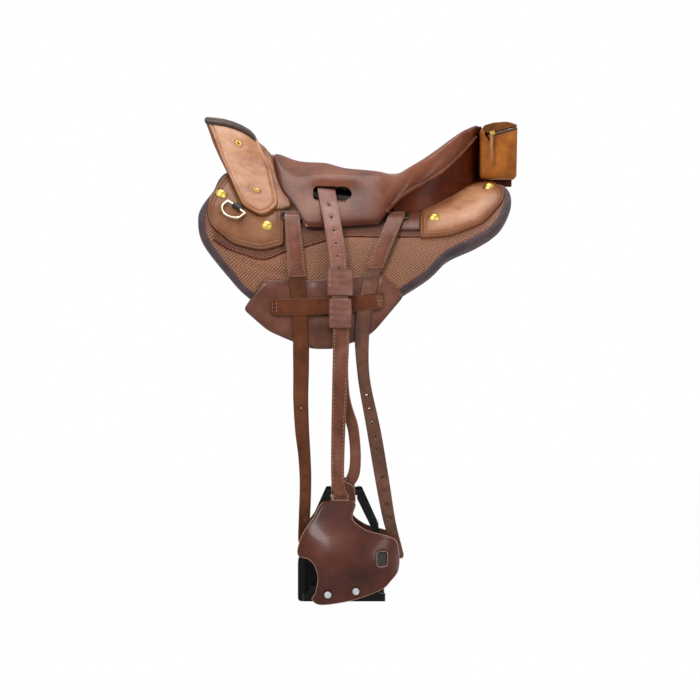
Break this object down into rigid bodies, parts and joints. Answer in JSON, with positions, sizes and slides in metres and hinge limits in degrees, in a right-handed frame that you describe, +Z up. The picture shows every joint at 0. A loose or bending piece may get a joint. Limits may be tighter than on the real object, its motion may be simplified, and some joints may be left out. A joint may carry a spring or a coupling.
{
  "type": "endurance saddle",
  "caption": "Endurance riding saddle with padded seat, mesh skirts, hooded stirrups on hanging leathers, billets for a girth and a bag behind the cantle.",
  "frame": {"origin": "lowest point of the line along the top of the horse's back, in the saddle's middle plane, where the saddle is carried", "axes": "+X towards the horse's tail, +Z up, -Y towards the horse's left (the near side, which faces the camera)"},
  "size_m": [0.575, 0.7326, 0.8779],
  "materials": {
    "tree_wood": "planed",
    "dark_leather": "satin",
    "painted_steel": "matte",
    "bright_steel": "bright",
    "seat_leather": "glossy",
    "tan_leather": "satin",
    "brass": "polished",
    "panel_felt": "matte",
    "mesh": "matte",
    "binding": "matte",
    "strap_leather": "satin",
    "black_webbing": "matte",
    "bag_leather": "satin",
    "zip_tape": "matte",
    "stirrup_plastic": "glossy",
    "tread_rubber": "ribbed",
    "hood_leather": "satin"
  },
  "bodies": {
    "saddle": {"tree_bars": "tree_wood", "ground_seat": "dark_leather", "pommel_arch": "painted_steel", "cantle_arch": "painted_steel", "stirrup_rods": "bright_steel", "seat": "seat_leather", "cantle_cover": "dark_leather", "pommel_cover": "tan_leather", "pommel_patch": "tan_leather", "pommel_rim": "dark_leather", "pommel_eyelets": "brass", "panel_left": "panel_felt", "panel_right": "panel_felt", "skirt_left": "mesh", "skirt_right": "mesh", "binding_left": "binding", "binding_right": "binding", "lobe_left": "strap_leather", "lobe_right": "strap_leather", "front_jockey_left": "tan_leather", "front_jockey_right": "tan_leather", "rear_jockey_left": "tan_leather", "rear_jockey_right": "tan_leather", "dome_studs": "brass", "ring_tabs": "black_webbing", "rigging_dees": "black_webbing", "front_rigging_left": "strap_leather", "front_rigging_right": "strap_leather", "rear_rigging_left": "strap_leather", "rear_rigging_right": "strap_leather", "keeper_straps": "strap_leather", "leather_loops": "strap_leather", "bag_body": "bag_leather", "bag_zip": "zip_tape", "bag_backing": "black_webbing"},
    "upper_leather_left": {"upper_leather_left": "strap_leather"},
    "lower_leather_left": {"lower_leather_left": "strap_leather", "leather_sleeve_left": "strap_leather", "leather_buckle_left": "bright_steel"},
    "stirrup_left": {"stirrup_left": "stirrup_plastic", "tread_pad_left": "tread_rubber", "hood_left": "hood_leather", "hood_rivets_left": "bright_steel"},
    "front_billet_left": {"front_billet_left": "strap_leather"},
    "rear_billet_left": {"rear_billet_left": "strap_leather"},
    "d_ring_left": {"d_ring_left": "bright_steel"},
    "upper_leather_right": {"upper_leather_right": "strap_leather"},
    "lower_leather_right": {"lower_leather_right": "strap_leather", "leather_sleeve_right": "strap_leather", "leather_buckle_right": "bright_steel"},
    "stirrup_right": {"stirrup_right": "stirrup_plastic", "tread_pad_right": "tread_rubber", "hood_right": "hood_leather", "hood_rivets_right": "bright_steel"},
    "front_billet_right": {"front_billet_right": "strap_leather"},
    "rear_billet_right": {"rear_billet_right": "strap_leather"},
    "d_ring_right": {"d_ring_right": "bright_steel"},
    "zip_slider": {"zip_slider": "brass"},
    "zip_pull": {"zip_pull": "bag_leather"},
    "bag_lid": {"bag_lid": "bag_leather"}
  },
  "joints": [
    {"name": "leather_lift_left", "type": "hinge", "parent": "saddle", "child": "upper_leather_left", "pos_m": [-0.095, -0.15253, 0.018], "axis": [-1, 0, 0], "range_deg": [0, 60]},
    {"name": "leather_swing_left", "type": "hinge", "parent": "upper_leather_left", "child": "lower_leather_left", "pos_m": [-0.07, -0.2896, -0.175], "axis": [0, -0.9853, 0.1707], "range_deg": [-12, 12]},
    {"name": "stirrup_tilt_left", "type": "hinge", "parent": "lower_leather_left", "child": "stirrup_left", "pos_m": [-0.0635, -0.3017, -0.512], "axis": [-1, 0, 0], "range_deg": [-6, 40]},
    {"name": "front_billet_swing_left", "type": "hinge", "parent": "saddle", "child": "front_billet_left", "pos_m": [-0.141, -0.2846, -0.257], "axis": [1, 0, 0], "range_deg": [0, 40]},
    {"name": "rear_billet_swing_left", "type": "hinge", "parent": "saddle", "child": "rear_billet_left", "pos_m": [-0.031, -0.2846, -0.257], "axis": [1, 0, 0], "range_deg": [0, 40]},
    {"name": "d_ring_swing_left", "type": "hinge", "parent": "saddle", "child": "d_ring_left", "pos_m": [-0.256, -0.20907, 0], "axis": [-0.7714, 0.3006, 0.5609], "range_deg": [0, 100]},
    {"name": "leather_lift_right", "type": "hinge", "parent": "saddle", "child": "upper_leather_right", "pos_m": [-0.095, 0.15253, 0.018], "axis": [1, 0, 0], "range_deg": [0, 60]},
    {"name": "leather_swing_right", "type": "hinge", "parent": "upper_leather_right", "child": "lower_leather_right", "pos_m": [-0.07, 0.2896, -0.175], "axis": [0, 0.9853, 0.1707], "range_deg": [-12, 12]},
    {"name": "stirrup_tilt_right", "type": "hinge", "parent": "lower_leather_right", "child": "stirrup_right", "pos_m": [-0.0635, 0.3017, -0.512], "axis": [1, 0, 0], "range_deg": [-6, 40]},
    {"name": "front_billet_swing_right", "type": "hinge", "parent": "saddle", "child": "front_billet_right", "pos_m": [-0.141, 0.2846, -0.257], "axis": [-1, 0, 0], "range_deg": [0, 40]},
    {"name": "rear_billet_swing_right", "type": "hinge", "parent": "saddle", "child": "rear_billet_right", "pos_m": [-0.031, 0.2846, -0.257], "axis": [-1, 0, 0], "range_deg": [0, 40]},
    {"name": "d_ring_swing_right", "type": "hinge", "parent": "saddle", "child": "d_ring_right", "pos_m": [-0.256, 0.20907, 0], "axis": [0.7714, 0.3006, -0.5609], "range_deg": [0, 100]},
    {"name": "zip_slide", "type": "slide", "parent": "saddle", "child": "zip_slider", "axis": [0.9659, 0, 0.2588], "range_m": [0, 0.04]},
    {"name": "pull_swing", "type": "hinge", "parent": "zip_slider", "child": "zip_pull", "pos_m": [0.203, -0.0908, 0.133], "axis": [0, -1, 0], "range_deg": [-40, 60]},
    {"name": "lid_lift", "type": "hinge", "parent": "saddle", "child": "bag_lid", "pos_m": [0.189, 0, 0.147], "axis": [0, -1, 0], "range_deg": [0, 80]}
  ]
}
